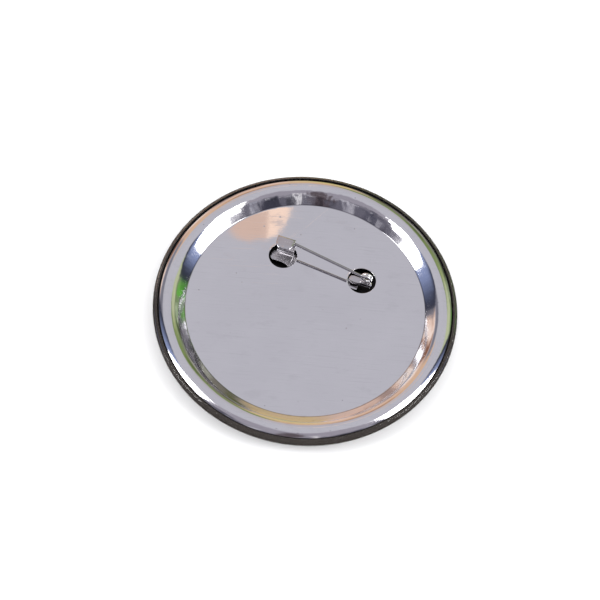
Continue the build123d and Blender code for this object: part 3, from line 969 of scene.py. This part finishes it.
def panel(centre, half_w, half_h, soft, twist=0.0):
    """Mask of a rectangular panel seen in direction centre; half sizes and softness in degrees."""
    c = centre.normalized()
    side = UP.cross(c).normalized()
    top = c.cross(side)
    q = Quaternion(c, math.radians(twist))
    side, top = q @ side, q @ top
    depth = along_(c)
    d = math_(nt, "MAXIMUM", depth, 0.05)
    u = math_(nt, "ABSOLUTE", math_(nt, "DIVIDE", along_(side), d))
    v = math_(nt, "ABSOLUTE", math_(nt, "DIVIDE", along_(top), d))
    tw, th, ts = (math.tan(math.radians(a)) for a in (half_w, half_h, soft))
    mu = ramp(nt, u, tw + ts, max(tw - ts, 0.0))
    mv = ramp(nt, v, th + ts, max(th - ts, 0.0))
    front = ramp(nt, depth, 0.05, 0.15)
    return math_(nt, "MULTIPLY", math_(nt, "MULTIPLY", mu, mv), front)


DEG = 180.0 / math.pi
elev = math_(nt, "MULTIPLY", math_(nt, "ARCSINE", along_(UP)), DEG)
az = math_(nt, "MULTIPLY", math_(nt, "ARCTAN2", along_(AWAY), along_(RIGHT)), DEG)
az = math_(nt, "ADD", az, math_(nt, "MULTIPLY", math_(nt, "LESS_THAN", az, -25.0), 360.0))   # -25..335: right 0, away 90, left 180


# the room's shapes wander a little, so nothing mirrored in the metal is ruler-straight
wander = nd(nt, "ShaderNodeTexNoise", None, Vector=D, Scale=4.2, Detail=3.0, Roughness=0.6).outputs["Color"]
wander = nd(nt, "ShaderNodeSeparateColor", None, Color=wander)
az_w = math_(nt, "ADD", az, math_(nt, "MULTIPLY", math_(nt, "SUBTRACT", wander.outputs[0], 0.5), 26.0))
elev_w = math_(nt, "ADD", elev, math_(nt, "MULTIPLY", math_(nt, "SUBTRACT", wander.outputs[1], 0.5), 18.0))


def srgb(r, g, b, k=1.0):
    return tuple(k * ((c / 255) / 12.92 if c < 11 else ((c / 255 + 0.055) / 1.055) ** 2.4) for c in (r, g, b))


def field(a0, a1, e0, e1, sa=3.0, se=3.0):
    """Mask of the part of the room between two azimuths and two elevations, in degrees, with soft borders."""
    m1 = math_(nt, "MULTIPLY", ramp(nt, az_w, a0 - sa, a0 + sa), ramp(nt, az_w, a1 + sa, a1 - sa))
    m2 = math_(nt, "MULTIPLY", ramp(nt, elev_w, e0 - se, e0 + se), ramp(nt, elev_w, e1 + se, e1 - se))
    return math_(nt, "MULTIPLY", m1, m2)


G = 1.25
az2 = math_(nt, "ADD", az, math_(nt, "MULTIPLY", math_(nt, "GREATER_THAN", az, 200.0), -360.0))   # -160..200


def slanted(a, a0, e0, a1, e1):
    """Elevation that runs straight from (a0, e0) to (a1, e1)."""
    return nd(nt, "ShaderNodeMapRange", {"clamp": False}, Value=a, From_Min=a0, From_Max=a1, To_Min=e0, To_Max=e1).outputs[0]


sky = mix(nt, ramp(nt, elev, 30, 80), srgb(178, 177, 184, G), srgb(181, 180, 188, G))
cloudy = noise_tex(nt, D, 3.2, 3.0, 0.55)
sky = mix(nt, ramp(nt, cloudy, 0.35, 0.7, 0.0, 0.16), sky, srgb(162, 161, 170, G))
for a0, a1, e0, e1, sa, se, col, k in (
    # far side of the room, its upper part, left to right as azimuth falls
    (96, 128, 20, 46, 2, 2.0, (205, 172, 146), 1.0),
    (84, 98, 20, 38, 3, 4.0, (198, 166, 138), 1.0),
    (100, 112, 30, 38, 3, 1.5, (138, 98, 78), 0.85),
    (20, 86, 20, 45, 3, 2.5, (118, 134, 84), 1.0),
    (70, 101, 35, 49, 3, 3.0, (176, 171, 177), 0.97),
    (48, 55, 26, 40, 2, 5, (176, 184, 132), 0.65),
    (30, 36, 26, 40, 2, 5, (186, 192, 148), 0.65),
    (62, 68, 22, 38, 2, 5, (74, 88, 44), 0.7),
    (18, 50, 17, 46, 3, 4, (186, 192, 158), 0.8),
    # a dark stretch towards the left
    (127, 158, 6, 42, 4, 4, (108, 107, 118), 0.9),
    (132, 156, 21, 26, 3, 2, (170, 168, 178), 0.6),
    # and its lower part
    (94, 151, -20, 20, 3, 3, (216, 184, 166), 1.0),
    (129, 140, 2, 17, 3, 4, (118, 78, 62), 0.95),
    (120, 125, -20, 13, 1.5, 4, (236, 222, 212), 0.8),
    (109, 117, -20, 14, 2, 4, (150, 130, 124), 0.85),
    (104, 107, -20, 12, 1.5, 4, (110, 84, 76), 0.8),
    (142, 147, -8, 20, 2, 4, (240, 222, 212), 0.8),
    (78, 97, -20, 22, 3, 4, (202, 178, 134), 1.0),
    (85, 90, -10, 12, 2, 4, (186, 180, 112), 0.7),
    (56, 80, -20, 24, 4, 5, (118, 114, 104), 1.0),
    (70, 77, -20, 16, 2, 5, (86, 90, 50), 0.9),
    (60, 65, -10, 18, 2, 4, (166, 168, 154), 0.7),
    (22, 58, -20, 24, 4, 5, (116, 130, 96), 1.0),
    (45, 53, -20, 16, 2, 4, (62, 70, 44), 0.85),
    (39, 44, -6, 16, 1.5, 4, (176, 188, 160), 0.75),
    (27, 43, -20, 6, 3, 4, (84, 158, 54), 0.9),
    (13, 32, -20, 15, 3, 4, (92, 170, 60), 0.95),
    (21, 25, 4, 15, 1.2, 3, (46, 96, 34), 0.7),
    # towards the camera
    (204, 332, -20, 77, 4, 5, (146, 142, 152), 1.0),
    (206, 330, -20, 44, 4, 6, (92, 90, 102), 0.95),
    (262, 275, 8, 70, 3, 6, (70, 58, 62), 0.85),
    (256, 290, 8, 24, 4, 6, (52, 46, 50), 0.8),
    (281, 287, 18, 52, 1.5, 6, (226, 224, 228), 0.9),
    (290, 295, 8, 40, 1.5, 5, (40, 40, 48), 0.85),
    (299, 312, 8, 46, 2, 6, (52, 52, 64), 0.9),
    (240, 248, 12, 46, 2, 6, (172, 170, 180), 0.6),
    (222, 231, 10, 50, 2, 6, (64, 64, 78), 0.85),
    (316, 321, 16, 46, 1.5, 5, (176, 176, 188), 0.6),
):
    sky = mix(nt, math_(nt, "MULTIPLY", field(a0, a1, e0, e1, sa, se), k), sky, srgb(*col, G))
# clutter on the camera's side
clutter = noise_tex(nt, D, 9.0, 3.0, 0.6)
near_side = field(212, 324, -20, 46, 3, 5)
sky = mix(nt, math_(nt, "MULTIPLY", near_side, ramp(nt, clutter, 0.55, 0.66, 0.0, 0.65)), sky, srgb(196, 194, 202, G))
sky = mix(nt, math_(nt, "MULTIPLY", near_side, ramp(nt, clutter, 0.44, 0.34, 0.0, 0.75)), sky, srgb(34, 34, 40, G))
low_near = field(204, 332, -20, 10, 4, 4)
sky = mix(nt, math_(nt, "MULTIPLY", low_near, 0.9), sky, srgb(152, 148, 158, G))
# cool spill beside the softboxes, fading into shadow
low_mid = ramp(nt, elev, 58, 50)
spill_l = math_(nt, "MULTIPLY", math_(nt, "MULTIPLY", ramp(nt, az, 152, 157), ramp(nt, az, 184, 181)), low_mid)
sky = mix(nt, spill_l, sky, mix(nt, ramp(nt, az, 156, 180), srgb(52, 54, 68, G), srgb(134, 146, 184, G)))
spill_r = math_(nt, "MULTIPLY", math_(nt, "MULTIPLY", ramp(nt, az2, 25, 21), ramp(nt, az2, 0, 3)), low_mid)
sky = mix(nt, spill_r, sky, mix(nt, ramp(nt, az2, 21, 5), srgb(48, 50, 62, G), srgb(130, 142, 180, G)))
# a warm board seen by the flat centre
board = math_(nt, "MULTIPLY", ramp(nt, elev, 55.0, 55.6), ramp(nt, az, 101.0, 99.5))
board = math_(nt, "MULTIPLY", board, ramp(nt, math_(nt, "SUBTRACT", az, slanted(elev, 57.32, 91.87, 58.72, 92.83)), -0.07, 0.07))
board = math_(nt, "MULTIPLY", board, ramp(nt, math_(nt, "SUBTRACT", elev, slanted(az, 92.83, 58.72, 95.07, 58.82)), 0.07, -0.07))
board = math_(nt, "MULTIPLY", board, ramp(nt, math_(nt, "SUBTRACT", elev, slanted(az, 95.07, 58.82, 96.63, 58.27)), 0.16, -0.16))
sky = mix(nt, board, sky, mix(nt, ramp(nt, az, 93.50, 93.64), srgb(243, 214, 195, G), srgb(205, 177, 163, G)))
# the lower world, out of the light
sky = mix(nt, ramp(nt, elev, 3, -12), sky, (0.035, 0.033, 0.034))
# two softboxes
box_l = math_(nt, "MULTIPLY", ramp(nt, az, 180.0, 181.6), ramp(nt, az, 202.0, 199.8))
box_l = math_(nt, "MULTIPLY", box_l, ramp(nt, elev, 64, 60))
box_l = math_(nt, "MULTIPLY", box_l, ramp(nt, math_(nt, "SUBTRACT", elev, slanted(az, 179, 17, 201, 30)), -1.2, 1.2))
box_r = math_(nt, "MULTIPLY", ramp(nt, az2, -23.5, -21.3), ramp(nt, az2, 5.0, 3.2))
box_r = math_(nt, "MULTIPLY", box_r, ramp(nt, elev, 64, 60))
box_r = math_(nt, "MULTIPLY", box_r, ramp(nt, math_(nt, "SUBTRACT", elev, slanted(az2, -22, 28, 4, 14)), -1.2, 1.2))
side_l = math_(nt, "MULTIPLY", math_(nt, "MULTIPLY", ramp(nt, az, 198, 200), ramp(nt, az, 209.5, 207.5)), math_(nt, "MULTIPLY", ramp(nt, elev, 31, 33), ramp(nt, elev, 52, 49)))
side_r = math_(nt, "MULTIPLY", math_(nt, "MULTIPLY", ramp(nt, az2, -31.5, -29.5), ramp(nt, az2, -20, -22)), math_(nt, "MULTIPLY", ramp(nt, elev, 31, 33), ramp(nt, elev, 52, 49)))
boxes = math_(nt, "MAXIMUM", math_(nt, "MAXIMUM", box_l, box_r), math_(nt, "MAXIMUM", side_l, side_r))
sky = mix(nt, boxes, sky, (7.5, 7.5, 7.6))
rays = nd(nt, "ShaderNodeLightPath").outputs
sky = mix(nt, rays["Is Diffuse Ray"], sky, (1.20, 1.20, 1.21))
sky = mix(nt, rays["Is Camera Ray"], sky, (0.98, 0.98, 0.98))
bg = nd(nt, "ShaderNodeBackground", None, Color=sky, Strength=1.0)
nt.links.new(bg.outputs[0], wout.inputs[0])

back = Vector((math.sin(math.radians(13.447)) * math.cos(math.radians(61.3)),
               -math.cos(math.radians(13.447)) * math.cos(math.radians(61.3)), math.sin(math.radians(61.3))))
cr = UP.cross(back).normalized()
cu = back.cross(cr)
roll = math.radians(6.1)
cx = cr * math.cos(roll) + cu * math.sin(roll)
cy = cu * math.cos(roll) - cr * math.sin(roll)
cam_data = bpy.data.cameras.new("camera")
cam = bpy.data.objects.new("camera", cam_data)
bpy.context.scene.collection.objects.link(cam)
loc = Vector((0, 0, FLAT_Z * MM)) + back * 0.350
cam.matrix_world = Matrix((
    (cx.x, cy.x, back.x, loc.x), (cx.y, cy.y, back.y, loc.y), (cx.z, cy.z, back.z, loc.z), (0, 0, 0, 1)))
cam_data.sensor_width = 36.0
cam_data.lens = 85.25
cam_data.shift_x, cam_data.shift_y = -5.51 / 600, 6.69 / 600
cam_data.clip_start, cam_data.clip_end = 0.01, 30.0
bpy.context.scene.camera = cam
bpy.context.scene.view_settings.view_transform = "Standard"

bpy.context.view_layer.update()
